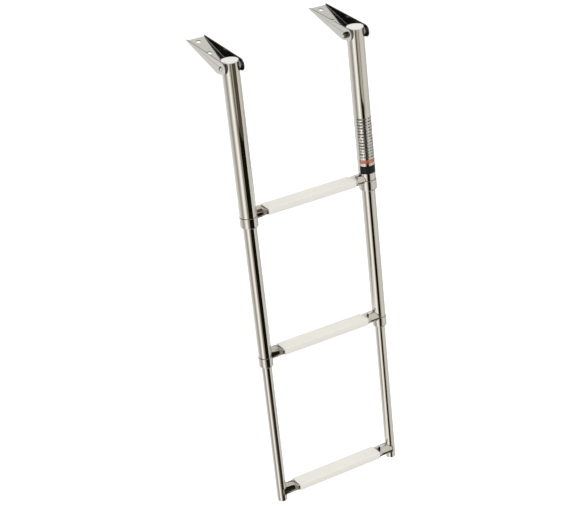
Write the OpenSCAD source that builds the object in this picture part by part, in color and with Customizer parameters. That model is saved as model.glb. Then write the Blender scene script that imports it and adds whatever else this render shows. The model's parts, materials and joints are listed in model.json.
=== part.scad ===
// Three-step telescoping boarding ladder for a swim platform.
// Two stiles of three nested tubes hang from two channel brackets on the deck.
// +X runs from the left stile to the right one, +Y points inboard, +Z up.
// The origin is the centre of the four deck screws, on the deck.

/* [Ladder] */
// Distance between the two stile axes
stile_spacing = 255; // [230:5:300]
// Lean of the stiles, outboard from the vertical, when they bear on the brackets
lean = 16; // [15:0.5:17]
// Hinge axis to the top of the end cap, along the stile
hinge_to_top = 13; // [12.5:0.1:13.2]
// Hinge axis to the bottom of the upper collar
upper_drop = 307; // [280:1:340]
// Upper collar bottom to middle collar bottom, with the ladder drawn out
middle_drop = 292; // [260:1:320]
// Middle rung to lower rung, with the ladder drawn out
lower_step = 308; // [280:1:330]
// Lower rung axis to the foot of the stile
foot_drop = 20; // [14:1:40]

/* [Tubes] */
// Outside diameter of the upper tubes
upper_d = 31.75; // [31.5:0.05:32]
// Outside diameter of the middle tubes
middle_d = 25.4; // [25:0.1:25.5]
// Outside diameter of the lower tubes
lower_d = 19.05; // [18.5:0.05:19.5]
// Wall thickness of every stile tube
tube_wall = 1.2; // [1:0.1:1.5]
// Height of the pressed collars
collar_h = 21; // [18:1:26]
// Sheet thickness of the pressed collars
collar_wall = 0.8; // [0.6:0.1:1]

/* [Rungs] */
// Outside diameter of the rung tube before it is flattened
rung_d = 22.2; // [20:0.1:24]
// Width of the flattened part of the rung
rung_flat_w = 30; // [28:0.5:31]
// Thickness of the flattened part of the rung
rung_flat_h = 9; // [8:0.5:10]
// Rung axis above the top edge of the collar
rung_above_collar = 3; // [0:0.5:6]
// Length of a tread
tread_length = 186; // [150:1:190]
// Depth of a tread, fore and aft
tread_w = 33.4; // [32.5:0.1:34]
// Thickness of a tread
tread_h = 12.2; // [11:0.1:13]

/* [Brackets] */
// Hinge axis to the centre of the screw pattern
hinge_run = 99; // [90:1:110]
// Hinge axis to the inboard end of the bracket
bracket_length = 132.5; // [125:0.5:150]
// Sheet thickness of the brackets
sheet = 2; // [1.8:0.1:2.2]
// Clear width inside the channel
channel_w = 34.2; // [34:0.1:34.6]
// Distance between the two screw holes of a bracket
screw_pitch = 42; // [30:1:50]
// Diameter of the deck screw holes
screw_hole_d = 8.5; // [5:0.1:9]
// Height of the side walls at the inboard end
toe_h = 4.4; // [3.5:0.1:8]
// Radius of the rounded nose of the side walls
nose_r = 11.5; // [11:0.1:13]
// Nose centre ahead of the hinge axis
nose_ahead = 6; // [5:0.1:9]
// Nose centre above the hinge axis
nose_above = 3; // [1:0.1:4]
// Hinge bolt diameter
bolt_d = 6; // [5:1:6]

/* [Hidden] */

$fn = 96;
eps = 0.01;
left = -1;
right = 1;

// Clearances
slide_gap = 0.3;      // radial, between nested pieces that slide
stop_gap = 0.2;       // between a slider and the guide that stops it
pin_gap = 0.06;       // radial, between the hinge bolt and its bushes
stow_gap = 0.525;     // between a stowed tube and the floor of its channel

// Heights along the stile, measured from the hinge axis
collar_round = 2.5;   // outer radius of the turned-in edge of a collar
upper_bottom = -upper_drop;
middle_bottom = upper_bottom - middle_drop;
upper_rung_z = upper_bottom + collar_h + rung_above_collar;
middle_rung_z = middle_bottom + collar_h + rung_above_collar;
lower_rung_z = middle_rung_z - lower_step;
foot_z = lower_rung_z - foot_drop;

// Top cap
cap_flange = 3.5;
cap_plug = 3.5;
cap_round = 1.4;
upper_top = hinge_to_top - cap_flange;

// Guides in the lower tube ends and sliders on the upper tube ends
guide_len = 14;
slider_len = 24;
slider_lip = 1.5;
nub_d = 5;
upper_guide_z = upper_bottom + collar_round;
middle_guide_z = middle_bottom + collar_round;
middle_slider_z = upper_guide_z + guide_len + stop_gap;
lower_slider_z = middle_guide_z + guide_len + stop_gap;
middle_top = middle_slider_z + slider_len - slider_lip;
lower_top = lower_slider_z + slider_len - slider_lip;

// Hinge bushes, bolt and nut
bush_d = 8;
bush_flange_d = 14;
bush_flange = 1.1;
bush_inside = 3;
bolt_head_d = 10.5;
bolt_head_h = 3.3;
bolt_socket_d = 4;
bolt_socket_depth = 2;
nut_flats = 10;
nut_hex_h = 4.4;
nut_collar_h = 1.6;
bolt_proud = 1.2;

// Bracket
hinge_h = sheet + stow_gap + upper_d / 2;
bracket_w = channel_w + 2 * sheet;
bend_r = 3;
heel_run = 17.6;      // hinge axis to the front end of the bend line
tongue_w = 22;        // stop tongue that the back of the tube bears on
bolt_len = bracket_w + nut_hex_h + nut_collar_h + bolt_proud;

// Tread
tread_round = 1.4;
tread_slot = 12;
tread_fit = 0.1;
flat_proud = 2;       // flat of the rung past the end of its tread
flare_end = 8;        // length over which the rung flattens
rung_wall = 1.2;

// Foot plug
plug_len = 12;
plug_recess = 0.5;

// Label
label_w_deg = 160;
label_h = 113;
label_bottom = -271;
label_t = 0.25;

// Colours
polished = [0.80, 0.80, 0.78];
plastic_white = [0.91, 0.90, 0.87];
nylon = [0.93, 0.93, 0.91];
label_grey = [0.72, 0.72, 0.70];
plug_grey = [0.35, 0.35, 0.36];

// ---------- placing ----------

// From hinge coordinates, with Z along the stile, to the deck
module hang() {
    translate([0, -hinge_run, hinge_h])
        rotate([-lean, 0, 0])
            children();
}

// On the axis of the left (-1) or right (1) stile
module on_stile(side) {
    translate([side * stile_spacing / 2, 0, 0])
        children();
}

// ---------- tubes and their fittings ----------

module pipe(d, bore, from, to) {
    translate([0, 0, from])
        difference() {
            cylinder(d = d, h = to - from);
            translate([0, 0, -1])
                cylinder(d = bore, h = to - from + 2);
        }
}

module upper_tube(side) {
    color(polished)
        hang() on_stile(side)
            difference() {
                pipe(upper_d, upper_d - 2 * tube_wall, upper_bottom + collar_round, upper_top);
                rotate([0, 90, 0])
                    cylinder(d = bush_d, h = upper_d + 2, center = true);
            }
}

// A tube that slides: its top has two holes for the nubs of its slider
module sliding_tube(side, d, from, to, nub_z) {
    color(polished)
        hang() on_stile(side)
            difference() {
                pipe(d, d - 2 * tube_wall, from, to);
                translate([0, 0, nub_z])
                    rotate([90, 0, 0])
                        cylinder(d = nub_d, h = d + 2, center = true);
            }
}

module top_cap(side) {
    bore = upper_d - 2 * tube_wall;
    color(plastic_white)
        hang() on_stile(side)
            translate([0, 0, upper_top]) {
                rotate_extrude()
                    union() {
                        square([upper_d / 2 - cap_round, cap_flange]);
                        intersection() {
                            translate([upper_d / 2 - cap_round, cap_flange - cap_round])
                                circle(r = cap_round, $fn = 48);
                            square([upper_d, cap_flange]);
                        }
                    }
                difference() {
                    translate([0, 0, -cap_plug])
                        cylinder(d = bore, h = cap_plug + eps);
                    translate([0, 0, -cap_plug - 1])
                        cylinder(d = bore - 4, h = cap_plug + 1);
                }
            }
}

// Two flanged nylon bushes, one in each side of the tube
module hinge_bushes(side) {
    color(nylon)
        hang() on_stile(side)
            for (face = [-1, 1])
                rotate([0, face * 90, 0])
                    difference() {
                        union() {
                            translate([0, 0, upper_d / 2])
                                cylinder(d = bush_flange_d, h = bush_flange);
                            translate([0, 0, upper_d / 2 - bush_inside])
                                cylinder(d = bush_d, h = bush_inside + eps);
                        }
                        cylinder(d = bolt_d + 2 * pin_gap, h = upper_d);
                    }
}

// Pressed cup on the end of a tube: its floor is turned in to the next tube
module collar(side, tube_d, next_d, bottom) {
    outer = tube_d / 2 + collar_wall;
    mouth = next_d / 2 + slide_gap;
    color(polished)
        hang() on_stile(side)
            translate([0, 0, bottom])
                rotate_extrude()
                    union() {
                        translate([tube_d / 2, collar_round])
                            square([collar_wall, collar_h - collar_round]);
                        translate([mouth, 0])
                            square([outer - collar_round - mouth, collar_wall]);
                        intersection() {
                            translate([outer - collar_round, collar_round])
                                difference() {
                                    circle(r = collar_round, $fn = 48);
                                    circle(r = collar_round - collar_wall, $fn = 48);
                                }
                            translate([outer - collar_round, 0])
                                square(collar_round);
                        }
                    }
}

// Nylon guide inside the lower end of a tube
module guide(side, tube_d, next_d, bottom) {
    color(nylon)
        hang() on_stile(side)
            pipe(tube_d - 2 * tube_wall, next_d + 2 * slide_gap, bottom, bottom + guide_len);
}

// Nylon slider on the upper end of a tube, held by two nubs in the tube wall
module slider(side, d, outer_d, bottom) {
    color(nylon)
        hang() on_stile(side) {
            translate([0, 0, bottom])
                difference() {
                    cylinder(d = outer_d, h = slider_len);
                    translate([0, 0, -1])
                        cylinder(d = d, h = slider_len - slider_lip + 1);
                    cylinder(d = d - 2 * tube_wall, h = slider_len + 1);
                }
            for (face = [-1, 1])
                translate([0, 0, bottom + slider_len / 2])
                    rotate([face * 90, 0, 0])
                        translate([0, 0, d / 2 - tube_wall])
                            cylinder(d = nub_d, h = tube_wall + 0.4);
        }
}

module foot_plug(side) {
    bore = lower_d - 2 * tube_wall;
    color(plug_grey)
        hang() on_stile(side)
            translate([0, 0, foot_z + plug_recess])
                difference() {
                    cylinder(d = bore, h = plug_len);
                    translate([0, 0, 2])
                        cylinder(d = bore - 4, h = plug_len);
                }
}

// Clear film with printed bands, on the outboard face of the right upper tube
module side_label() {
    color(label_grey)
        hang() on_stile(right)
            translate([0, 0, label_bottom])
                rotate([0, 0, -90 - label_w_deg / 2])
                    rotate_extrude(angle = label_w_deg)
                        translate([upper_d / 2, 0])
                            square([label_t, label_h]);
}

// ---------- rungs and treads ----------

// Flattened section of the rung, in the plane across its length
module flat_section(grow) {
    half = (rung_flat_w - rung_flat_h) / 2;
    square([rung_flat_h + 2 * grow, 2 * half], center = true);
    for (y = [-half, half])
        translate([0, y])
            circle(d = rung_flat_h + 2 * grow);
}

// One half of a rung, from mid length to the stile axis, grown by a wall
module half_rung_solid(grow) {
    flat_end = tread_length / 2 + flat_proud;
    rotate([0, 90, 0]) {
        linear_extrude(flat_end)
            flat_section(grow);
        hull() {
            translate([0, 0, flat_end - eps])
                linear_extrude(eps)
                    flat_section(grow, $fn = 32);
            translate([0, 0, flat_end + flare_end])
                cylinder(d = rung_d + 2 * grow, h = eps, $fn = 32);
        }
        translate([0, 0, flat_end + flare_end])
            cylinder(d = rung_d + 2 * grow, h = stile_spacing / 2 - flat_end - flare_end);
    }
}

// Rung tube with its ends cut to the stile, over the top edge of the collar
module rung(z, tube_d, collar_top) {
    end_trim = 0.2 * tube_d;
    color(polished)
        hang()
            difference() {
                for (turn = [0, 180])
                    translate([0, 0, z])
                        rotate([0, 0, turn])
                            difference() {
                                half_rung_solid(0);
                                translate([-1, 0, 0])
                                    half_rung_solid(-rung_wall);
                            }
                for (side = [left, right])
                    on_stile(side) {
                        translate([-end_trim, -rung_d, z - rung_d])
                            cube([2 * end_trim, 2 * rung_d, 2 * rung_d]);
                        translate([0, 0, z - rung_d])
                            cylinder(d = tube_d, h = 2 * rung_d);
                        translate([0, 0, z - rung_d])
                            cylinder(d = tube_d + 2 * collar_wall, h = collar_top - z + rung_d);
                    }
            }
}

// Plastic sleeve snapped over the flat of the rung, split along its underside
module tread(z) {
    core_w = tread_w - 2 * tread_round;
    core_h = tread_h - 2 * tread_round;
    color(plastic_white)
        hang()
            translate([-tread_length / 2, 0, z])
                rotate([0, 90, 0])
                    linear_extrude(tread_length)
                        difference() {
                            union() {
                                square([tread_h, core_w], center = true);
                                square([core_h, tread_w], center = true);
                                for (x = [-1, 1], y = [-1, 1])
                                    translate([x * core_h / 2, y * core_w / 2])
                                        circle(r = tread_round, $fn = 48);
                            }
                            flat_section(tread_fit);
                            translate([tread_h / 2, 0])
                                square([tread_h, tread_slot], center = true);
                        }
}

// ---------- brackets ----------

// Side wall seen along X, with the hinge axis at the origin and Y inboard
module wall_outline() {
    base_z = -hinge_h;
    toe = [bracket_length, base_z + toe_h];
    nose = [-nose_ahead, nose_above];
    heel = [heel_run, base_z];
    up = toe - nose;
    down = heel - nose;
    up_turn = atan2(up.y, up.x) + acos(nose_r / norm(up));
    down_turn = atan2(down.y, down.x) - acos(nose_r / norm(down));
    polygon([
        [bracket_length, base_z],
        toe,
        nose + nose_r * [cos(up_turn), sin(up_turn)],
        nose,
        nose + nose_r * [cos(down_turn), sin(down_turn)],
        heel
    ]);
    translate(nose)
        circle(r = nose_r);
}

// Channel seen along Y: floor, two bends and two walls
module channel_section() {
    wall_h = hinge_h + nose_above + nose_r + 1;
    inner_r = bend_r - sheet;
    difference() {
        union() {
            translate([-bracket_w / 2, bend_r])
                square([bracket_w, wall_h]);
            translate([-bracket_w / 2 + bend_r, 0])
                square([bracket_w - 2 * bend_r, bend_r + eps]);
            for (x = [-1, 1])
                translate([x * (bracket_w / 2 - bend_r), bend_r])
                    circle(r = bend_r, $fn = 48);
        }
        translate([-channel_w / 2, sheet + inner_r])
            square([channel_w, wall_h + 2]);
        translate([-channel_w / 2 + inner_r, sheet])
            square([channel_w - 2 * inner_r, wall_h]);
        for (x = [-1, 1])
            translate([x * (channel_w / 2 - inner_r), sheet + inner_r])
                circle(r = inner_r, $fn = 48);
    }
}

// Tongue of the floor, in front of the bends
module stop_tongue() {
    translate([-tongue_w / 2, 0, -hinge_h])
        cube([tongue_w, heel_run + 2, sheet]);
}

// Room for the leaning stile between the bends: it cuts the tongue's end square to the stile
module stile_room() {
    floor_w = channel_w - 2 * (bend_r - sheet);
    rotate([-lean, 0, 0])
        translate([-floor_w / 2, -upper_d, -2 * hinge_h])
            cube([floor_w, 1.5 * upper_d + stop_gap, 2 * hinge_h]);
}

module bracket(side) {
    color(polished)
        translate([side * stile_spacing / 2, -hinge_run, hinge_h])
            difference() {
                union() {
                    intersection() {
                        rotate([90, 0, 90])
                            linear_extrude(bracket_w + 2, center = true)
                                wall_outline();
                        translate([0, bracket_length + 1, -hinge_h])
                            rotate([90, 0, 0])
                                linear_extrude(bracket_length + nose_ahead + nose_r + 2)
                                    channel_section();
                    }
                    stop_tongue();
                }
                stile_room();
                rotate([0, 90, 0])
                    cylinder(d = bolt_d, h = bracket_w + 2, center = true);
                for (y = [-screw_pitch / 2, screw_pitch / 2])
                    translate([0, hinge_run + y, -hinge_h - 1])
                        cylinder(d = screw_hole_d, h = sheet + 2);
            }
}

// Button-head bolt, its head on the outer side of the bracket
module hinge_bolt(side) {
    dome_r = (bolt_head_d * bolt_head_d / 4 + bolt_head_h * bolt_head_h) / (2 * bolt_head_h);
    color(polished)
        translate([side * stile_spacing / 2, -hinge_run, hinge_h])
            rotate([0, side * 90, 0]) {
                translate([0, 0, bracket_w / 2 - bolt_len])
                    cylinder(d = bolt_d, h = bolt_len);
                translate([0, 0, bracket_w / 2])
                    difference() {
                        rotate_extrude()
                            intersection() {
                                translate([0, bolt_head_h - dome_r])
                                    circle(r = dome_r);
                                square([bolt_head_d, bolt_head_h]);
                            }
                        translate([0, 0, bolt_head_h - bolt_socket_depth])
                            cylinder(d = bolt_socket_d / cos(30), h = bolt_socket_depth + 1, $fn = 6);
                    }
            }
}

// Self-locking nut on the inner side of the bracket
module hinge_nut(side) {
    color(polished)
        translate([side * stile_spacing / 2, -hinge_run, hinge_h])
            rotate([0, -side * 90, 0])
                translate([0, 0, bracket_w / 2])
                    difference() {
                        union() {
                            intersection() {
                                cylinder(d = nut_flats / cos(30), h = nut_hex_h, $fn = 6);
                                cylinder(d = nut_flats / cos(30) - 0.5, h = nut_hex_h);
                            }
                            cylinder(d = nut_flats - 0.8, h = nut_hex_h + nut_collar_h);
                        }
                        translate([0, 0, -1])
                            cylinder(d = bolt_d, h = nut_hex_h + nut_collar_h + 2);
                    }
}

// ---------- the ladder ----------

bracket(left);  // left_bracket
bracket(right);  // right_bracket
hinge_bolt(left);  // left_hinge_bolt
hinge_bolt(right);  // right_hinge_bolt
hinge_nut(left);  // left_hinge_nut
hinge_nut(right);  // right_hinge_nut

upper_tube(left);  // left_upper_tube
upper_tube(right);  // right_upper_tube
top_cap(left);  // left_top_cap
top_cap(right);  // right_top_cap
hinge_bushes(left);  // left_hinge_bushes
hinge_bushes(right);  // right_hinge_bushes
collar(left, upper_d, middle_d, upper_bottom);  // left_upper_collar
collar(right, upper_d, middle_d, upper_bottom);  // right_upper_collar
guide(left, upper_d, middle_d, upper_guide_z);  // left_upper_guide
guide(right, upper_d, middle_d, upper_guide_z);  // right_upper_guide
rung(upper_rung_z, upper_d, upper_bottom + collar_h);  // upper_rung
tread(upper_rung_z);  // upper_tread
side_label();

middle_nub_z = middle_slider_z + slider_len / 2;
middle_slider_d = upper_d - 2 * tube_wall - 2 * slide_gap;
sliding_tube(left, middle_d, middle_guide_z, middle_top, middle_nub_z);  // left_middle_tube
sliding_tube(right, middle_d, middle_guide_z, middle_top, middle_nub_z);  // right_middle_tube
slider(left, middle_d, middle_slider_d, middle_slider_z);  // left_middle_slider
slider(right, middle_d, middle_slider_d, middle_slider_z);  // right_middle_slider
collar(left, middle_d, lower_d, middle_bottom);  // left_middle_collar
collar(right, middle_d, lower_d, middle_bottom);  // right_middle_collar
guide(left, middle_d, lower_d, middle_guide_z);  // left_middle_guide
guide(right, middle_d, lower_d, middle_guide_z);  // right_middle_guide
rung(middle_rung_z, middle_d, middle_bottom + collar_h);  // middle_rung
tread(middle_rung_z);  // middle_tread

lower_nub_z = lower_slider_z + slider_len / 2;
lower_slider_d = middle_d - 2 * tube_wall - 2 * slide_gap;
sliding_tube(left, lower_d, foot_z, lower_top, lower_nub_z);  // left_lower_tube
sliding_tube(right, lower_d, foot_z, lower_top, lower_nub_z);  // right_lower_tube
slider(left, lower_d, lower_slider_d, lower_slider_z);  // left_lower_slider
slider(right, lower_d, lower_slider_d, lower_slider_z);  // right_lower_slider
foot_plug(left);  // left_foot_plug
foot_plug(right);  // right_foot_plug
rung(lower_rung_z, lower_d, foot_z - 1);  // lower_rung
tread(lower_rung_z);  // lower_tread
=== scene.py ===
import json
import math

import bmesh
import bpy
from mathutils import Matrix, Vector


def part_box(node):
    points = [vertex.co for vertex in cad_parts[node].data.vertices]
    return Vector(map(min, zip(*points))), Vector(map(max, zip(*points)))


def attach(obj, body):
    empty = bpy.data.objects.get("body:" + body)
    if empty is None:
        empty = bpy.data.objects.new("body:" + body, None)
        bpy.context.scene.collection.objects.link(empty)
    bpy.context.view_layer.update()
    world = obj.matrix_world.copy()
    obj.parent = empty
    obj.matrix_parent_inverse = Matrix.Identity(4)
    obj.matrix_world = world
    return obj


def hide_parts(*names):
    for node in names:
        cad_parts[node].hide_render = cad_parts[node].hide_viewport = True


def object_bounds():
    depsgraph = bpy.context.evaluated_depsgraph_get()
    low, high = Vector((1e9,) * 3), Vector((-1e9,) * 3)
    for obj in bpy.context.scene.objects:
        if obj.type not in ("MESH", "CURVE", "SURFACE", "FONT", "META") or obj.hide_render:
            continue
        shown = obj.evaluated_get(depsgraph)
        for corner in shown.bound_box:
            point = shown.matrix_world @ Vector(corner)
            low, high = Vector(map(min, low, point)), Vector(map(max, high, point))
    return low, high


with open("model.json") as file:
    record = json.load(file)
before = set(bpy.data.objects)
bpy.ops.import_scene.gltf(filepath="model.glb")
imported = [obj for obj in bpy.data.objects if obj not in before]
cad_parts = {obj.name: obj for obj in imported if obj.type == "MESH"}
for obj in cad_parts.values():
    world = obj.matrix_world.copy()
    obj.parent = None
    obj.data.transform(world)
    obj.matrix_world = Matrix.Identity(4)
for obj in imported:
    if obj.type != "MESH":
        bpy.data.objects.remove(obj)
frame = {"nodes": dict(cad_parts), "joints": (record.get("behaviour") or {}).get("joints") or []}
cad_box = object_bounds()

# ---------------------------------------------------------------- where the ladder hangs
# Two hinge bolts on one line carry the ladder, and its stiles lean outboard
# until they bear on the brackets. Lengths below are in millimetres, measured
# from the hinge line: X to the right, Y inboard, Z up along the stiles.
mm = 0.001
joints = {joint["name"]: joint for joint in frame["joints"]}
hinge = Vector(joints["ladder_swing"]["pos_m"])
up = Vector(joints["middle_slide"]["axis"]).normalized()
inboard = up.cross(Vector((1, 0, 0)))
lean = math.acos(up.z)
hang = Matrix.Translation(hinge) @ Matrix.Rotation(-lean, 4, "X") @ Matrix.Scale(mm, 4)

# ---------------------------------------------------------------- camera
# A long lens looks down on the ladder from outboard and to its left, rolled
# a little, so that the deck brackets point away from it.
camera_data = bpy.data.cameras.new("camera")
camera_data.lens = 94.5
camera_data.sensor_width = 36.0
camera = bpy.data.objects.new("camera", camera_data)
camera.location = (-1.2148, -2.0964, 1.4703)
camera.rotation_euler = [math.radians(turn) for turn in (50.603, -2.355, -29.848)]
bpy.context.scene.collection.objects.link(camera)
bpy.context.scene.camera = camera

# ---------------------------------------------------------------- studio
# A white room with a pale floor far below. The polished steel mirrors only a
# tent of grey and white cloths, dark under the ladder's right and high behind
# its left, and some cards and rails and a dark stand that nothing else sees.
floor_drop = 0.6
floor_size = 30.0
tent_stops = (
    (-180, (0.84, 0.83, 0.80)),
    (-150, (0.71, 0.70, 0.67)),
    (-122, (0.54, 0.52, 0.48)),
    (-103, (0.33, 0.31, 0.27)),
    (-90, (0.42, 0.40, 0.35)),
    (-77, (0.72, 0.70, 0.65)),
    (-66, (1.05, 1.02, 0.96)),
    (-54, (1.05, 1.01, 0.93)),
    (-42, (0.66, 0.62, 0.55)),
    (-30, (0.24, 0.22, 0.18)),
    (-18, (0.26, 0.24, 0.20)),
    (-8, (0.44, 0.42, 0.36)),
    (12, (0.52, 0.49, 0.42)),
    (38, (0.66, 0.64, 0.58)),
    (78, (0.62, 0.60, 0.55)),
    (100, (0.50, 0.48, 0.43)),
    (125, (0.60, 0.58, 0.53)),
    (180, (0.84, 0.83, 0.80)),
)

tent_floor = (0.012, 0.011, 0.009)
tent_corner = (0.001, 0.001, 0.001)


def put_in_scene(name, shape, *materials):
    """Turns a finished bmesh into an object, and frees it."""
    mesh = bpy.data.meshes.new(name)
    shape.to_mesh(mesh)
    shape.free()
    for material in materials:
        mesh.materials.append(material)
    placed = bpy.data.objects.new(name, mesh)
    bpy.context.scene.collection.objects.link(placed)
    return placed


pale = bpy.data.materials.new("pale_floor")
pale.use_nodes = True
pale_shader = pale.node_tree.nodes["Principled BSDF"]
pale_shader.inputs["Base Color"].default_value = (0.86, 0.86, 0.86, 1)
pale_shader.inputs["Roughness"].default_value = 0.9
pale_shader.inputs["Emission Color"].default_value = (1, 1, 1, 1)
pale_shader.inputs["Emission Strength"].default_value = 0.3
shape = bmesh.new()
bmesh.ops.create_grid(shape, x_segments=1, y_segments=1, size=floor_size)
bmesh.ops.translate(shape, verts=shape.verts, vec=(0, 0, cad_box[0][2] - floor_drop))
floor = put_in_scene("floor", shape, pale)
floor.visible_glossy = False
floor.visible_diffuse = False

room = bpy.data.worlds.new("white_room")
room.use_nodes = True
bpy.context.scene.world = room
bpy.context.scene.view_settings.view_transform = "Standard"
nodes, links = room.node_tree.nodes, room.node_tree.links
direction = nodes.new("ShaderNodeTexCoord").outputs["Generated"]


def room_range(value, low, high, interpolation="LINEAR"):
    """A node that goes from 0 to 1 as a value in the room goes from low to high."""
    node = nodes.new("ShaderNodeMapRange")
    node.interpolation_type = interpolation
    node.inputs["From Min"].default_value = low
    node.inputs["From Max"].default_value = high
    links.new(value, node.inputs["Value"])
    return node


def towards(axis):
    """How far a direction in the room points along an axis, from -1 to 1."""
    node = nodes.new("ShaderNodeVectorMath")
    node.operation = "DOT_PRODUCT"
    node.inputs[1].default_value = axis
    links.new(direction, node.inputs[0])
    return node.outputs["Value"]


def room_maths(operation, first, second):
    """One step of arithmetic on two values in the room."""
    node = nodes.new("ShaderNodeMath")
    node.operation = operation
    links.new(first, node.inputs[0])
    links.new(second, node.inputs[1])
    return node.outputs[0]


def darkened(cloth, share, colour):
    """The tent's colour, with a dark one over a share of it."""
    node = nodes.new("ShaderNodeMix")
    node.data_type = "RGBA"
    node.inputs["B"].default_value = (*colour, 1)
    links.new(share, node.inputs["Factor"])
    links.new(cloth, node.inputs["A"])
    return node.outputs["Result"]


# The plain room is a little darker low down.
plain_room = nodes["Background"]
plain_room.inputs["Color"].default_value = (1, 1, 1, 1)
room_tone = room_range(towards((0, 0, 1)), -0.5, 0.1)
room_tone.inputs["To Min"].default_value = 0.62
links.new(room_tone.outputs[0], plain_room.inputs["Strength"])

# The tent's cloths hang around the stiles, at an angle from straight outboard.
right_part, out_part, up_part = towards((1, 0, 0)), towards(-inboard), towards(up)
turn = room_range(room_maths("ARCTAN2", right_part, out_part), -math.pi, math.pi)
cloths = nodes.new("ShaderNodeValToRGB")
for degrees, colour in tent_stops:
    place = (degrees + 180) / 360
    if degrees == -180:
        stop = cloths.color_ramp.elements[0]
    elif degrees == 180:
        stop = cloths.color_ramp.elements[-1]
    else:
        stop = cloths.color_ramp.elements.new(place)
    stop.position = place
    stop.color = (*colour, 1)
links.new(turn.outputs[0], cloths.inputs["Fac"])
under = room_range(up_part, -0.56, -0.70, "SMOOTHSTEP").outputs[0]
rightward = room_range(right_part, 0.12, 0.34, "SMOOTHSTEP").outputs[0]
grounded = darkened(cloths.outputs["Color"], room_maths("MULTIPLY", under, rightward), tent_floor)
corner = towards(Vector((-0.66, 0.45, 0.60)).normalized())
corner_spread = room_range(corner, 0.80, 0.88, "SMOOTHSTEP").outputs[0]
cornered = darkened(grounded, corner_spread, tent_corner)

# Only reflections see the tent.
tent = nodes.new("ShaderNodeBackground")
chooser = nodes.new("ShaderNodeMixShader")
light_path = nodes.new("ShaderNodeLightPath")
links.new(cornered, tent.inputs["Color"])
links.new(light_path.outputs["Is Glossy Ray"], chooser.inputs["Fac"])
links.new(plain_room.outputs[0], chooser.inputs[1])
links.new(tent.outputs[0], chooser.inputs[2])
links.new(chooser.outputs[0], nodes["World Output"].inputs["Surface"])

# Cards seen only in the steel. Corners are near-top, far-top, far-foot and
# near-foot, in millimetres from the hinge line.
cards = {
    "brown_card": (
        ((25, -158, 200), (-186, -673, 100), (-186, -673, -355), (25, -158, -205)),
        (0.080, 0.066, 0.040),
    ),
    "dark_rail": (
        ((-490, -1000, -280), (-575, -1000, -280), (-585, -1000, -490), (-535, -1000, -490)),
        (0.020, 0.022, 0.015),
    ),
    "grey_rail": (
        ((216, -600, -170), (272, -600, -170), (272, -600, -370), (216, -600, -370)),
        (0.120, 0.110, 0.080),
    ),
    "dark_stand": (
        ((150, -339, -250), (-500, -1180, -530), (-540, -1180, -1350), (170, -339, -860)),
        (0.006, 0.005, 0.002),
    ),
    "back_card": (
        ((195, 1584, -250), (1167, 1088, -250), (1167, 1088, -2600), (195, 1584, -2600)),
        (0.050, 0.045, 0.036),
    ),
    "stand_foot": (
        ((170, -339, -860), (-540, -1180, -1350), (-420, -1180, -2600), (190, -339, -1400)),
        (0.030, 0.024, 0.016),
    ),
}
for name, (corners, colour) in cards.items():
    paper = bpy.data.materials.new(name)
    paper.use_nodes = True
    paper_shader = paper.node_tree.nodes["Principled BSDF"]
    paper_shader.inputs["Base Color"].default_value = (0, 0, 0, 1)
    paper_shader.inputs["Specular IOR Level"].default_value = 0.0
    paper_shader.inputs["Emission Color"].default_value = (*colour, 1)
    paper_shader.inputs["Emission Strength"].default_value = 1.0
    shape = bmesh.new()
    shape.faces.new([shape.verts.new(corner) for corner in corners])
    bmesh.ops.transform(shape, matrix=hang, verts=shape.verts)
    card = put_in_scene(name, shape, paper)
    for unseen in ("visible_camera", "visible_diffuse", "visible_shadow", "visible_transmission"):
        setattr(card, unseen, False)

key_data = bpy.data.lights.new("softbox", "AREA")
key_data.energy = 8.0
key_data.size = 1.6
key = bpy.data.objects.new("softbox", key_data)
key.location = (-1.6, -1.2, 2.6)
key.rotation_euler = (Vector((0, -0.2, -0.3)) - key.location).to_track_quat("-Z", "Y").to_euler()
key.visible_glossy = False
bpy.context.scene.collection.objects.link(key)

# ---------------------------------------------------------------- deck brackets
# Each bracket is a channel folded from 2 mm stainless sheet: its walls rise
# from a low toe to a round nose over the hinge bolt. Two screws hold it down,
# and a tongue of its floor stops the stile.
sheet = 2.0
fold = 3.0
fold_steps = 6
spare = 2.0  # more sheet than the wall needs, which the cuts take off
sides = {"left": -1, "right": 1}
bracket_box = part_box("left_bracket")
stile_x = -(bracket_box[0].x + bracket_box[1].x) / 2 / mm
hinge_h = hinge.z / mm
bracket_end = (bracket_box[1].y - hinge.y) / mm
toe_h = 4.4
nose = Vector((-6.0, 3.0))
nose_r, nose_steps = 11.5, 26
heel_run = 17.6
tongue_half = 11.0
tongue_end = 12.0
bolt_hole = 3.0
screw_hole = 4.25
screw_places = (78.0, 120.0)
hole_steps = 32
sheet_edge = 0.35


def half_width(node):
    """Half of a node's width from left to right."""
    low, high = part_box(node)
    return (high.x - low.x) / 2 / mm


def new_surface(name):
    """A fresh material, its shader, and the Object coordinates for its patterns."""
    material = bpy.data.materials.new(name)
    material.use_nodes = True
    nodes = material.node_tree.nodes
    return material, nodes["Principled BSDF"], nodes.new("ShaderNodeTexCoord").outputs["Object"]


def stretched(place, scale, rotation=(0, 0, 0)):
    """Coordinates turned and stretched, for a pattern with a direction."""
    tree = place.id_data
    mapping = tree.nodes.new("ShaderNodeMapping")
    mapping.inputs["Rotation"].default_value = rotation
    mapping.inputs["Scale"].default_value = scale
    tree.links.new(place, mapping.inputs["Vector"])
    return mapping.outputs[0]


def mottled(place, scale, detail):
    """An uneven pattern on a piece: its value is about 0.5."""
    tree = place.id_data
    noise = tree.nodes.new("ShaderNodeTexNoise")
    noise.inputs["Scale"].default_value = scale
    noise.inputs["Detail"].default_value = detail
    tree.links.new(place, noise.inputs["Vector"])
    return noise.outputs["Fac"]


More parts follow.
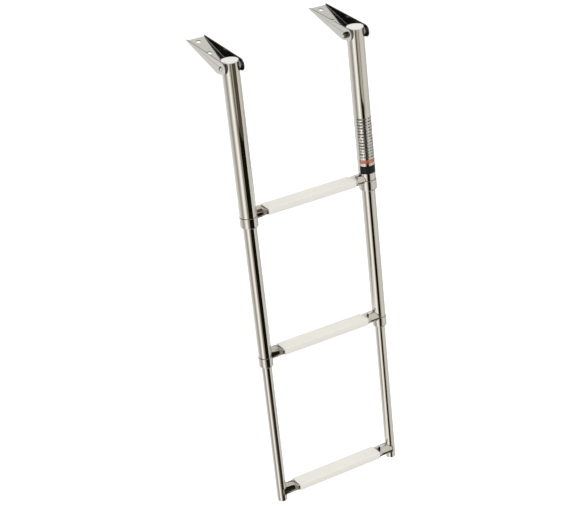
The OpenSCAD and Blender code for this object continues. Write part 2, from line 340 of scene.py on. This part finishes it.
def roughen(shader, pattern, low, high):
    """Spreads a surface's roughness between two values by a pattern."""
    tree = shader.id_data
    rough = tree.nodes.new("ShaderNodeMapRange")
    rough.inputs["To Min"].default_value = low
    rough.inputs["To Max"].default_value = high
    tree.links.new(pattern, rough.inputs["Value"])
    tree.links.new(rough.outputs[0], shader.inputs["Roughness"])


def emboss(shader, pattern, strength, depth):
    """Raises a pattern a little out of a surface. The depth is in metres."""
    tree = shader.id_data
    bump = tree.nodes.new("ShaderNodeBump")
    bump.inputs["Strength"].default_value = strength
    bump.inputs["Distance"].default_value = depth
    tree.links.new(pattern, bump.inputs["Height"])
    tree.links.new(bump.outputs[0], shader.inputs["Normal"])


def sheet_steel(name, colour, low, high):
    """Bright rolled sheet: a soft mirror with faint roll lines along the channel."""
    material, shader, place = new_surface(name)
    shader.inputs["Metallic"].default_value = 1.0
    shader.inputs["Base Color"].default_value = (*colour, 1)
    roughen(shader, mottled(place, 60.0, 4.0), low, high)
    roll_lines = mottled(stretched(place, (1.0, 0.06, 1.0)), 1400.0, 3.0)
    emboss(shader, roll_lines, 0.05, 0.0002)
    return material


def round_edges(piece, width, segments=2, limit=40):
    """Breaks the sharp edges of a piece, and keeps its flat faces flat in the light."""
    rounding = piece.modifiers.new("edges", "BEVEL")
    rounding.width = width
    rounding.segments = segments
    rounding.limit_method = "ANGLE"
    rounding.angle_limit = math.radians(limit)
    rounding.harden_normals = True
    return rounding


def edges_of(shape, ring):
    """The edges between the points of one ring."""
    return [edge for edge in shape.edges if edge.verts[0] in ring and edge.verts[1] in ring]


def open_holes(shape, face, centres, radius, turn_to_face, outline=None):
    """Swaps a flat face for the same face with round holes in it."""
    border = outline or list(face.edges)
    shape.faces.remove(face)
    rings = []
    for point in centres:
        seat = Matrix.Translation(point) @ turn_to_face
        ring = bmesh.ops.create_circle(shape, segments=hole_steps, radius=radius, matrix=seat)
        rings += edges_of(shape, ring["verts"])
    bmesh.ops.triangle_fill(shape, use_beauty=True, edges=border + rings)


def wall_cuts():
    """Points and outward directions of the cuts that leave a wall's outline."""
    toe = Vector((bracket_end, toe_h - hinge_h))
    heel = Vector((heel_run, -hinge_h))
    rise, drop = toe - nose, heel - nose
    first = math.atan2(rise.y, rise.x) + math.acos(nose_r / rise.length)
    last = math.atan2(drop.y, drop.x) - math.acos(nose_r / drop.length) + 2 * math.pi
    for step in range(nose_steps + 1):
        angle = first + (last - first) * step / nose_steps
        out = Vector((math.cos(angle), math.sin(angle)))
        yield nose + nose_r * out, out


bracket_half = half_width("left_bracket")
bracket_steel = sheet_steel("bracket_sheet", (0.80, 0.795, 0.78), 0.09, 0.16)
# The walls' inside faces get a much darker copy of the sheet steel. This is painted shade, standing
# for the dark reflections between the walls.
inner_steel_painted_shade = sheet_steel("wall_inside_painted_shade", (0.17, 0.167, 0.16), 0.14, 0.24)
# Cut edges are rougher, as sheared sheet is, and darker as painted shade of the gap and shadow
# beside them.
rough_cut_and_painted_shade = sheet_steel("cut_edge_and_painted_shade", (0.27, 0.265, 0.24), 0.30, 0.42)
for side_name, side in sides.items():
    shape = bmesh.new()
    wall_top = nose.y + nose_r + spare
    section = [(-bracket_half, wall_top)]
    for step in range(fold_steps + 1):
        angle = math.pi / 2 * step / fold_steps
        across = bracket_half - fold + fold * math.cos(angle)
        section.append((-across, fold - fold * math.sin(angle) - hinge_h))
    section += [(-x, z) for x, z in reversed(section)]
    row = [shape.verts.new((x, bracket_end, z)) for x, z in section]
    chain = [shape.edges.new(pair) for pair in zip(row, row[1:])]
    grown = bmesh.ops.extrude_edge_only(shape, edges=chain)
    reach = bracket_end - nose.x + nose_r + spare
    ends = [part for part in grown["geom"] if isinstance(part, bmesh.types.BMVert)]
    bmesh.ops.translate(shape, verts=ends, vec=(0, -reach, 0))
    for point, out in wall_cuts():
        bmesh.ops.bisect_plane(
            shape,
            geom=shape.verts[:] + shape.edges[:] + shape.faces[:],
            plane_co=(0, point.x, point.y),
            plane_no=(0, out.x, out.y),
            clear_outer=True,
        )
    walls = [face for face in shape.faces if abs(face.calc_center_median().x) > bracket_half - 0.01]
    for wall in walls:
        x = wall.calc_center_median().x
        open_holes(shape, wall, [(x, 0, 0)], bolt_hole, Matrix.Rotation(math.pi / 2, 4, "Y"))
    floor_face = min(shape.faces, key=lambda face: face.calc_center_median().z)
    front = min(floor_face.edges, key=lambda edge: edge.verts[0].co.y + edge.verts[1].co.y)
    front_left, front_right = sorted(front.verts, key=lambda vert: vert.co.x)
    edges = [edge for edge in floor_face.edges if edge != front]
    tongue = [(-tongue_half, heel_run), (-tongue_half, tongue_end)]
    tongue += [(-x, y) for x, y in reversed(tongue)]
    path = [front_left, *[shape.verts.new((x, y, -hinge_h)) for x, y in tongue], front_right]
    edges += [shape.edges.new(pair) for pair in zip(path, path[1:])]
    holes = [(0, y, -hinge_h) for y in screw_places]
    open_holes(shape, floor_face, holes, screw_hole, Matrix.Identity(4), edges)
    loose = [edge for edge in shape.edges if not edge.link_faces]
    bmesh.ops.delete(shape, geom=loose, context="EDGES")
    bmesh.ops.remove_doubles(shape, verts=shape.verts, dist=0.001)
    seat = Matrix.Translation((side * stile_x * mm, hinge.y, hinge.z)) @ Matrix.Scale(mm, 4)
    bmesh.ops.transform(shape, matrix=seat, verts=shape.verts)
    bmesh.ops.recalc_face_normals(shape, faces=shape.faces)
    lowest = min(shape.faces, key=lambda face: face.calc_center_median().z)
    if lowest.normal.z > 0:
        bmesh.ops.reverse_faces(shape, faces=shape.faces)
    for face in shape.faces:
        face.smooth = True
        face.material_index = 0 if abs(face.normal.x) > 0.99 else 1
    outer_set = (bracket_steel, bracket_steel)
    # Slots for the sheet's outside, its inside (painted shade on the walls) and its cut rims.
    painted_shade_set = (inner_steel_painted_shade, bracket_steel)
    cut_set = (rough_cut_and_painted_shade, rough_cut_and_painted_shade)
    bracket = put_in_scene(f"{side_name}_deck_bracket", shape, *outer_set, *painted_shade_set, *cut_set)
    thickness = bracket.modifiers.new("sheet", "SOLIDIFY")
    thickness.thickness = sheet * mm
    thickness.offset = -1
    thickness.use_even_offset = True
    thickness.material_offset = len(outer_set)
    thickness.material_offset_rim = len(outer_set + painted_shade_set)
    round_edges(bracket, sheet_edge * mm)
    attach(bracket, "brackets")
    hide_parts(f"{side_name}_bracket")

# ---------------------------------------------------------------- hinge bolts and nuts
# A button-head bolt with a hexagon socket passes through both walls, and a
# self-locking nut is on its inner end. Both are stainless, the nut the duller.
ring_steps = 48
head_r, head_h = 5.25, 3.3
head_edge = 0.2
dome_shares = (0.97, 0.9, 0.8, 0.7, 0.62)
socket_flats, socket_depth, socket_chamfer = 4.0, 2.0, 0.15
shank_r, shank_chamfer = 3.0, 0.6
nut_flats, nut_hex_h, nut_collar_h, nut_collar_r = 10.0, 4.4, 1.6, 4.6
thread_proud = 1.2
nut_chamfer = 0.5
nut_slope = math.tan(math.radians(30))


def steel(name, colour, low, high, bump_strength=0.02):
    """Polished stainless: nearly a mirror, with polishing haze in soft patches."""
    material, shader, place = new_surface(name)
    shader.inputs["Metallic"].default_value = 1.0
    shader.inputs["Base Color"].default_value = (*colour, 1)
    haze = mottled(stretched(place, (1.0, 1.0, 0.08), (lean, 0, 0)), 240.0, 5.0)
    roughen(shader, haze, low, high)
    emboss(shader, haze, bump_strength, 0.0002)
    return material


def make_piece(shape, name, material, smooth_to=35):
    """Puts a finished bmesh in the scene, smooth except across sharp edges."""
    bmesh.ops.recalc_face_normals(shape, faces=shape.faces)
    for face in shape.faces:
        face.smooth = True
    for edge in shape.edges:
        edge.smooth = len(edge.link_faces) == 2 and edge.calc_face_angle() < math.radians(smooth_to)
    return put_in_scene(name, shape, material)


def hexagon(angle, flats):
    """Distance from the centre to the side of a hexagon, at an angle."""
    return flats / 2 / math.cos((angle + math.pi / 6) % (math.pi / 3) - math.pi / 6)


def stack_rings(shape, rings, close_start=True, close_end=True):
    """Skins a row of rings about Z. A ring is a height, and a radius or a rule for it."""
    previous = None
    for height, radius in rings:
        ring = bmesh.ops.create_circle(shape, segments=ring_steps, radius=1.0)["verts"]
        for vert in ring:
            angle = math.atan2(vert.co.y, vert.co.x)
            size = radius(angle) if callable(radius) else radius
            lift = height(size) if callable(height) else height
            vert.co = (size * math.cos(angle), size * math.sin(angle), lift)
        edges = edges_of(shape, ring)
        if previous is None and close_start:
            shape.faces.new(ring)
        if previous is not None:
            bmesh.ops.bridge_loops(shape, edges=previous + edges)
        previous = edges
        last = ring
    if close_end:
        shape.faces.new(last)


bolt_steel = steel("bolt_steel", (0.80, 0.78, 0.73), 0.10, 0.18)
nut_steel = steel("nut_steel", (0.26, 0.24, 0.20), 0.12, 0.20)
for side_name, side in sides.items():
    facing = Matrix.Translation((side * stile_x * mm, hinge.y, hinge.z)) @ Matrix.Scale(mm, 4)
    outward = facing @ Matrix.Rotation(side * math.pi / 2, 4, "Y")
    inward = facing @ Matrix.Rotation(-side * math.pi / 2, 4, "Y")
    dome_r = (head_r**2 + head_h**2) / (2 * head_h)

    def on_dome(size):
        return bracket_half + head_h - dome_r + math.sqrt(dome_r**2 - size**2)

    tail = -bracket_half - nut_hex_h - nut_collar_h - thread_proud
    rings = [(tail, shank_r - shank_chamfer), (tail + shank_chamfer, shank_r)]
    rings.append((bracket_half, shank_r))
    rings.append((bracket_half, head_r - head_edge / 2))
    rings.append((bracket_half + head_edge, head_r))
    for share in dome_shares:
        rings.append((on_dome, head_r * share))
    rings.append((on_dome, lambda angle: hexagon(angle, socket_flats + 2 * socket_chamfer)))
    rings.append((
        lambda size: on_dome(size) - socket_chamfer,
        lambda angle: hexagon(angle, socket_flats),
    ))
    socket_floor = bracket_half + head_h - socket_depth
    rings.append((socket_floor, lambda angle: hexagon(angle, socket_flats)))
    shape = bmesh.new()
    stack_rings(shape, rings)
    bmesh.ops.transform(shape, matrix=outward, verts=shape.verts)
    bolt = make_piece(shape, f"{side_name}_button_bolt", bolt_steel)
    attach(bolt, "brackets")
    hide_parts(f"{side_name}_hinge_bolt")

    top = bracket_half + nut_hex_h
    washer_face = nut_flats / 2 - 0.1
    rings = [(bracket_half, shank_r), (bracket_half, washer_face)]
    rings.append((
        lambda size: bracket_half + (size - washer_face) * nut_slope,
        lambda angle: hexagon(angle, nut_flats),
    ))
    rings.append((
        lambda size: top - (size - nut_flats / 2 + nut_chamfer) * nut_slope,
        lambda angle: hexagon(angle, nut_flats),
    ))
    rings.append((top, nut_flats / 2 - nut_chamfer))
    rings.append((top + nut_collar_h * 0.55, nut_collar_r))
    rings.append((top + nut_collar_h * 0.85, nut_collar_r - 0.25))
    rings.append((top + nut_collar_h, nut_collar_r - 0.7))
    rings += [(top + nut_collar_h, shank_r + 0.5), (top + nut_collar_h - 0.7, shank_r + 0.05)]
    shape = bmesh.new()
    stack_rings(shape, rings, close_start=False, close_end=False)
    bmesh.ops.transform(shape, matrix=inward, verts=shape.verts)
    nut = make_piece(shape, f"{side_name}_locking_nut", nut_steel)
    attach(nut, "brackets")
    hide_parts(f"{side_name}_hinge_nut")

# ---------------------------------------------------------------- stile tubes
# Three sizes of welded and mirror-polished stainless tube slide in each other.
# Their shapes are plain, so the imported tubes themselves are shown.
sections = ("upper", "middle", "lower")
mirror_steel = steel("mirror_tube", (0.86, 0.85, 0.82), 0.05, 0.09)
for side_name in sides:
    for section in sections:
        frame["nodes"][f"{side_name}_{section}_tube"].data.materials[0] = mirror_steel

# ---------------------------------------------------------------- nylon pieces
# Flanged bushes line the hinge holes, and sleeves guide one tube in the next.
# All are turned from white nylon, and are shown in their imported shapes.
def plastic(name, colour, roughness, grain, depth):
    """Moulded or turned plastic: a fine grain, and slow changes of tone."""
    material, shader, place = new_surface(name)
    tree = shader.id_data
    shade = tree.nodes.new("ShaderNodeMix")
    shade.data_type = "RGBA"
    shade.inputs["A"].default_value = (*[channel * 0.97 for channel in colour], 1)
    shade.inputs["B"].default_value = (*[min(1.0, channel * 1.02) for channel in colour], 1)
    tree.links.new(mottled(place, 35.0, 3.0), shade.inputs["Factor"])
    tree.links.new(shade.outputs["Result"], shader.inputs["Base Color"])
    fine = mottled(place, grain, 2.0)
    roughen(shader, fine, roughness - 0.06, roughness + 0.06)
    emboss(shader, fine, 0.25, depth)
    return material


white_nylon = plastic("white_nylon", (0.86, 0.85, 0.81), 0.45, 900.0, 0.00008)
for side_name in sides:
    for part in ("hinge_bushes", "upper_guide", "middle_guide", "middle_slider", "lower_slider"):
        frame["nodes"][f"{side_name}_{part}"].data.materials[0] = white_nylon

# ---------------------------------------------------------------- top caps
# Each stile is closed by a moulded white cap pressed into the tube, slightly
# crowned, with a rounded rim and the mark of its mould gate in the middle.
cap_plug, plug_rim = 3.5, 2.0
cap_rim, cap_crown = 1.2, 0.2
rim_steps = 6
cap_under = 0.25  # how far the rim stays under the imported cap's top
cap_chamfer, rim_chamfer = 0.3, 0.2
tube_wall = 1.2
gate_r = 1.6


def height_of(node):
    """Height of a node's middle along the stiles, from the hinge line."""
    low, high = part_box(node)
    return ((low + high) / 2 - hinge).dot(up) / mm


def along_stile(node):
    """Lowest and highest point of a round node along the stiles, from the hinge line."""
    low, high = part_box(node)
    across = 2 * half_width(node) * math.sin(lean)
    half = ((high.z - low.z) / mm - across) / math.cos(lean) / 2
    return height_of(node) - half, height_of(node) + half


def on_stile(side):
    """Takes a piece turned about Z to the stile on a side."""
    return hang @ Matrix.Translation((side * stile_x, 0, 0))


tube_r = half_width("left_upper_tube")
bore_r = tube_r - tube_wall
cap_base = along_stile("left_upper_tube")[1]
cap_edge = along_stile("left_top_cap")[1] - cap_under
cap_plastic = plastic("cap_plastic", (0.82, 0.81, 0.79), 0.40, 700.0, 0.00006)
for side_name, side in sides.items():
    foot = cap_base - cap_plug
    rings = [(foot, bore_r - plug_rim), (foot, bore_r - cap_chamfer)]
    rings += [(foot + cap_chamfer, bore_r), (cap_base, bore_r)]
    rings += [(cap_base, tube_r - rim_chamfer), (cap_base + rim_chamfer, tube_r)]
    for step in range(rim_steps + 1):
        angle = math.pi / 2 * step / rim_steps
        rings.append((
            cap_edge - cap_rim + cap_rim * math.sin(angle),
            tube_r - cap_rim + cap_rim * math.cos(angle),
        ))
    rings += [(cap_edge + cap_crown * 0.7, tube_r * 0.6), (cap_edge + cap_crown, gate_r + 0.2)]
    rings += [(cap_edge, gate_r), (cap_edge, 0.6)]
    shape = bmesh.new()
    stack_rings(shape, rings)
    bmesh.ops.transform(shape, matrix=on_stile(side), verts=shape.verts)
    cap = make_piece(shape, f"{side_name}_tube_cap", cap_plastic)
    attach(cap, "upper_section")
    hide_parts(f"{side_name}_top_cap")

# ---------------------------------------------------------------- collars
# A cup pressed from thin stainless sheet is pushed over the lower end of each
# larger tube. A near-black ring in the seam above it is painted shade of the
# crevice between cup and tube. The cup's lower edge is turned in to the next
# tube and keeps the guide in.
collar_wall = 0.8
collar_turn = 2.5
turn_steps, inner_steps = 8, 5
collar_edge = 0.25
seam_rise = 0.9
slide_gap = 0.3
collar_steel = steel("collar_steel", (0.84, 0.83, 0.80), 0.06, 0.11)
# The near-black ring over each collar's top is painted shade of the crevice between collar and
# tube.
seam_painted_shade = plastic("seam_painted_shade", (0.035, 0.032, 0.028), 0.6, 1200.0, 0.00005)
for section, next_section in zip(sections, sections[1:]):
    for side_name, side in sides.items():
        outer_r = half_width(f"{side_name}_{section}_collar")
        mouth_r = half_width(f"{side_name}_{next_section}_tube") + slide_gap
        low, high = along_stile(f"{side_name}_{section}_collar")
        rings = [(low + collar_wall, mouth_r), (low, mouth_r)]
        for step in range(turn_steps + 1):
            angle = math.pi / 2 * step / turn_steps
            rings.append((
                low + collar_turn - collar_turn * math.cos(angle),
                outer_r - collar_turn + collar_turn * math.sin(angle),
            ))
        rings += [(high - collar_edge, outer_r), (high, outer_r - collar_edge)]
        rings += [(high, outer_r - collar_wall), (low + collar_turn, outer_r - collar_wall)]
        inner_turn = collar_turn - collar_wall
        for step in range(1, inner_steps + 1):
            angle = math.pi / 2 * (1 - step / inner_steps)
            rings.append((
                low + collar_turn - inner_turn * math.cos(angle),
                outer_r - collar_turn + inner_turn * math.sin(angle),
            ))
        rings.append((low + collar_wall, mouth_r))
        shape = bmesh.new()
        stack_rings(shape, rings, close_start=False, close_end=False)
        bmesh.ops.remove_doubles(shape, verts=shape.verts, dist=0.001)
        bmesh.ops.transform(shape, matrix=on_stile(side), verts=shape.verts)
        collar = make_piece(shape, f"{side_name}_{section}_pressed_collar", collar_steel)
        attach(collar, f"{section}_section")
        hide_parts(f"{side_name}_{section}_collar")

        # A thin near-black ring at the collar's top edge, as painted shade.
        shape = bmesh.new()
        tube_outside = outer_r - collar_wall
        rings = [(high, tube_outside - 0.05), (high, outer_r - collar_edge)]
        rings += [(high + seam_rise * 0.5, tube_outside + 0.2), (high + seam_rise, tube_outside)]
        stack_rings(shape, rings, close_start=False, close_end=False)
        bmesh.ops.transform(shape, matrix=on_stile(side), verts=shape.verts)
        seam_shade_ring = make_piece(shape, f"{side_name}_{section}_seam", seam_painted_shade, smooth_to=60)
        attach(seam_shade_ring, f"{section}_section")

# ---------------------------------------------------------------- rungs
# Each rung is a round tube pressed flat between the stiles, with ends left
# round and coped to fit. A fine weld runs around each end, polished over.
rung_r = 11.1
flat_half, flat_thick = 15.0, 4.5
flat_proud, flare_length = 2.0, 8.0
flare_steps, rung_steps = 8, 64
cope_sink, cope_limit = 0.4, 0.5  # both inside the stile's outer radius
collar_drop = 3.0  # from the middle of a rung to the top of the collar under it
weld_r = 0.9
weld_steps, weld_ripples = 180, 30
rung_steel = steel("rung_steel", (0.82, 0.80, 0.77), 0.07, 0.12)
weld_steel = steel("weld_steel", (0.55, 0.52, 0.47), 0.18, 0.30, 0.1)


def flattened(angle, share):
    """A point on the rung's section: a flat oval at share 0, and round at share 1."""
    sideways, upward = math.cos(angle), math.sin(angle)
    run = flat_half - flat_thick
    flat_y = flat_thick * sideways + max(-run, min(run, 2.2 * run * sideways))
    flat_z = flat_thick * math.copysign(min(1.0, abs(upward) * 1.6), upward)
    return (
        flat_y + (rung_r * sideways - flat_y) * share,
        flat_z + (rung_r * upward - flat_z) * share,
    )


for section in sections:
    stile_r = half_width(f"left_{section}_tube")
    rung_z = height_of(f"{section}_rung")
    flat_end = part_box(f"{section}_tread")[1].x / mm + flat_proud
    stations = [(-flat_end, 0.0), (flat_end, 0.0)]
    for step in range(1, flare_steps + 1):
        share = step / flare_steps
        eased = share * share * (3 - 2 * share)
        swell = 0.75 * share + 0.25 * eased
        stations.append((flat_end + flare_length * share, swell))
        stations.insert(0, (-stations[-1][0], swell))
    stations.append((stile_x, 1.0))
    stations.insert(0, (-stile_x, 1.0))
    shape = bmesh.new()
    previous = None
    for x, share in stations:
        ring = bmesh.ops.create_circle(shape, segments=rung_steps, radius=1.0)["verts"]
        for vert in ring:
            y, z = flattened(math.atan2(vert.co.y, vert.co.x), share)
            end = x
            if abs(x) == stile_x:
                beside = min(abs(y), stile_r - cope_limit)
                cope = math.sqrt((stile_r - cope_sink) ** 2 - beside**2)
                end = math.copysign(stile_x - cope, x)
            vert.co = (end, y, z + rung_z)
        edges = edges_of(shape, ring)
        if previous:
            bmesh.ops.bridge_loops(shape, edges=previous + edges)
        previous = edges
    bmesh.ops.transform(shape, matrix=hang, verts=shape.verts)
    rung = make_piece(shape, f"{section}_pressed_rung", rung_steel, smooth_to=50)
    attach(rung, f"{section}_section")
    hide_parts(f"{section}_rung")

    for side_name, side in sides.items():
        shape = bmesh.new()
        bead = bmesh.ops.create_circle(shape, segments=10, radius=weld_r)["verts"]
        bmesh.ops.rotate(shape, verts=bead, matrix=Matrix.Rotation(math.pi / 2, 3, "Z"))
        bmesh.ops.translate(shape, verts=bead, vec=(0, rung_r, 0))
        bmesh.ops.spin(
            shape, geom=shape.verts[:] + shape.edges[:], axis=(1, 0, 0), cent=(0, 0, 0),
            angle=2 * math.pi, steps=weld_steps, use_merge=True,
        )
        for vert in shape.verts:
            turn_here = math.atan2(vert.co.z, vert.co.y)
            ripple = 1 + 0.012 * math.cos(weld_ripples * turn_here)
            y, z = vert.co.y * ripple, vert.co.z * ripple
            on_collar = z < -collar_drop and section != "lower"
            over = stile_r + (collar_wall if on_collar else 0)
            cope = math.sqrt(max(over**2 - y**2, 0.0))
            vert.co = (side * (stile_x - cope - vert.co.x), y, z + rung_z)
        bmesh.ops.transform(shape, matrix=hang, verts=shape.verts)
        weld = make_piece(shape, f"{side_name}_{section}_weld", weld_steel, smooth_to=80)
        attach(weld, f"{section}_section")

# ---------------------------------------------------------------- treads
# A sleeve of off-white moulded plastic is snapped over the flat of each rung.
# It is split along its underside and has softly rounded edges.
tread_depth, tread_thick = 33.4, 12.2
tread_round, tread_edge = 1.4, 0.5
split = 12.0
core_gap = 0.1
corner_steps = 8
tread_plastic = plastic("tread_plastic", (0.86, 0.835, 0.77), 0.48, 1100.0, 0.0001)


def arc(cy, cz, radius, start, stop, steps):
    """Points on an arc, its angles in degrees."""
    for step in range(steps + 1):
        angle = math.radians(start + (stop - start) * step / steps)
        yield cy + radius * math.cos(angle), cz + radius * math.sin(angle)


for section in sections:
    tread_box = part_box(f"{section}_tread")
    rung_z = height_of(f"{section}_tread")
    half_y, half_z = tread_depth / 2 - tread_round, tread_thick / 2 - tread_round
    outline = [(split / 2, -tread_thick / 2)]
    outline += arc(half_y, -half_z, tread_round, -90, 0, corner_steps)
    outline += arc(half_y, half_z, tread_round, 0, 90, corner_steps)
    outline += arc(-half_y, half_z, tread_round, 90, 180, corner_steps)
    outline += arc(-half_y, -half_z, tread_round, 180, 270, corner_steps)
    outline.append((-split / 2, -tread_thick / 2))
    core_r, core_run = flat_thick + core_gap, flat_half - flat_thick
    outline.append((-split / 2, -core_r))
    outline += arc(-core_run, 0, core_r, 270, 90, 2 * corner_steps)
    outline += arc(core_run, 0, core_r, 90, -90, 2 * corner_steps)
    outline.append((split / 2, -core_r))
    shape = bmesh.new()
    start_x, stop_x = tread_box[0].x / mm, tread_box[1].x / mm
    sleeve_end = shape.faces.new([shape.verts.new((start_x, y, z + rung_z)) for y, z in outline])
    grown = bmesh.ops.extrude_face_region(shape, geom=[sleeve_end], use_keep_orig=True)
    ends = [part for part in grown["geom"] if isinstance(part, bmesh.types.BMVert)]
    bmesh.ops.translate(shape, verts=ends, vec=(stop_x - start_x, 0, 0))
    bmesh.ops.transform(shape, matrix=hang, verts=shape.verts)
    tread = make_piece(shape, f"{section}_tread_sleeve", tread_plastic)
    round_edges(tread, tread_edge * mm, segments=3)
    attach(tread, f"{section}_section")
    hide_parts(f"{section}_tread")

# ---------------------------------------------------------------- label
# A clear film on the right stile carries rows of plain grey bars, an orange
# line and a black band. It has no lettering.
label_arc = math.radians(160)
label_r = tube_r + 0.02
label_box = [(corner - hinge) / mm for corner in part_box("side_label")]
label_low = (label_box[0].z - label_r * math.cos(label_arc / 2) * math.sin(lean)) / math.cos(lean)
label_high = (label_box[1].z - label_r * math.sin(lean)) / math.cos(lean)
film_thick = 0.2
print_columns = 36
bar_rows = 14
row_gap = 0.56
dash_gap = 0.2
print_half, middle_gap = 0.46, 0.03
bars_from = 0.283
band, line, bars_zone, bare = 1.0, 0.5, 0.25, 0.0
print_zones = ((0.0, band), (0.133, bare), (0.183, line), (0.248, bare), (bars_from, bars_zone))
grey_ink = (0.16, 0.16, 0.16)
orange_ink = (0.72, 0.22, 0.13)
black_ink = (0.012, 0.014, 0.015)


def printed_film():
    """Clear film: its print is drawn from the label's own UV map, V up the stile."""
    film = bpy.data.materials.new("printed_film")
    film.use_nodes = True
    nodes, links = film.node_tree.nodes, film.node_tree.links
    shader = nodes["Principled BSDF"]
    shader.inputs["Roughness"].default_value = 0.22
    shader.inputs["Specular IOR Level"].default_value = 0.15
    place = nodes.new("ShaderNodeTexCoord")
    split_uv = nodes.new("ShaderNodeSeparateXYZ")
    links.new(place.outputs["UV"], split_uv.inputs[0])
    across, along = split_uv.outputs["X"], split_uv.outputs["Y"]

    def maths(operation, first, second=None):
        node = nodes.new("ShaderNodeMath")
        node.operation = operation
        for socket, value in zip(node.inputs, (first, second)):
            if isinstance(value, (int, float)):
                socket.default_value = value
            elif value is not None:
                links.new(value, socket)
        return node.outputs[0]

    def blended(share, first, second):
        node = nodes.new("ShaderNodeMix")
        node.data_type = "RGBA"
        for socket, colour in (("A", first), ("B", second)):
            if isinstance(colour, tuple):
                node.inputs[socket].default_value = (*colour, 1)
            else:
                links.new(colour, node.inputs[socket])
        links.new(share, node.inputs["Factor"])
        return node.outputs["Result"]

    # Rows of dashes in two columns.
    rows = maths("MULTIPLY", along, bar_rows / (1 - bars_from))
    in_row = maths("GREATER_THAN", maths("FRACT", rows), row_gap)
    dashes = nodes.new("ShaderNodeTexWhiteNoise")
    dashes.noise_dimensions = "2D"
    cell = nodes.new("ShaderNodeCombineXYZ")
    links.new(maths("FLOOR", maths("MULTIPLY", across, print_columns)), cell.inputs["X"])
    links.new(maths("FLOOR", rows), cell.inputs["Y"])
    links.new(cell.outputs[0], dashes.inputs["Vector"])
    inked = maths("GREATER_THAN", dashes.outputs["Value"], dash_gap)
    from_middle = maths("ABSOLUTE", maths("SUBTRACT", across, 0.5))
    off_edge = maths("LESS_THAN", from_middle, print_half)
    off_middle = maths("GREATER_THAN", from_middle, middle_gap)
    in_column = maths("MULTIPLY", off_edge, off_middle)
    bars = maths("MULTIPLY", maths("MULTIPLY", in_row, inked), in_column)

    # Which print is at a height: the band, the orange line, the bars or none.
    height = nodes.new("ShaderNodeValToRGB")
    height.color_ramp.interpolation = "CONSTANT"
    for place_v, level in print_zones:
        first_stop = height.color_ramp.elements[0]
        stop = first_stop if place_v == 0.0 else height.color_ramp.elements.new(place_v)
        stop.position = place_v
        stop.color = (level, level, level, 1)
    height.color_ramp.elements.remove(height.color_ramp.elements[-1])
    links.new(along, height.inputs["Fac"])

    def in_zone(level):
        same = maths("COMPARE", height.outputs["Color"], level)
        same.node.inputs[2].default_value = 0.1
        return same

    is_band, is_orange, is_bars = in_zone(band), in_zone(line), in_zone(bars_zone)
    ink = blended(is_band, blended(is_orange, grey_ink, orange_ink), black_ink)
    links.new(ink, shader.inputs["Base Color"])
    orange_line = maths("MULTIPLY", is_orange, maths("ADD", maths("MULTIPLY", inked, 0.3), 0.15))
    cover = maths("ADD", maths("MULTIPLY", is_band, 0.98), orange_line)
    cover = maths("ADD", cover, maths("MULTIPLY", maths("MULTIPLY", bars, is_bars), 0.55))
    cover = maths("ADD", cover, 0.02)
    links.new(cover, shader.inputs["Alpha"])
    return film


shape = bmesh.new()
shape.loops.layers.uv.new("print")
bmesh.ops.create_grid(shape, x_segments=40, y_segments=4, size=0.5, calc_uvs=True)
for vert in shape.verts:
    angle = -math.pi / 2 + vert.co.x * label_arc
    z = label_low + (vert.co.y + 0.5) * (label_high - label_low)
    vert.co = (stile_x + label_r * math.cos(angle), label_r * math.sin(angle), z)
bmesh.ops.transform(shape, matrix=hang, verts=shape.verts)
label = make_piece(shape, "stile_label", printed_film())
film = label.modifiers.new("film", "SOLIDIFY")
film.thickness = film_thick * mm
film.offset = 1
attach(label, "upper_section")
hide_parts("side_label")

# ---------------------------------------------------------------- foot plugs
# A dark grey moulded plug closes the foot of each stile. It is a push fit in
# the tube, just inside its end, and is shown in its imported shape.
plug_plastic = plastic("plug_plastic", (0.10, 0.10, 0.105), 0.55, 800.0, 0.0001)
for side_name in sides:
    frame["nodes"][f"{side_name}_foot_plug"].data.materials[0] = plug_plastic
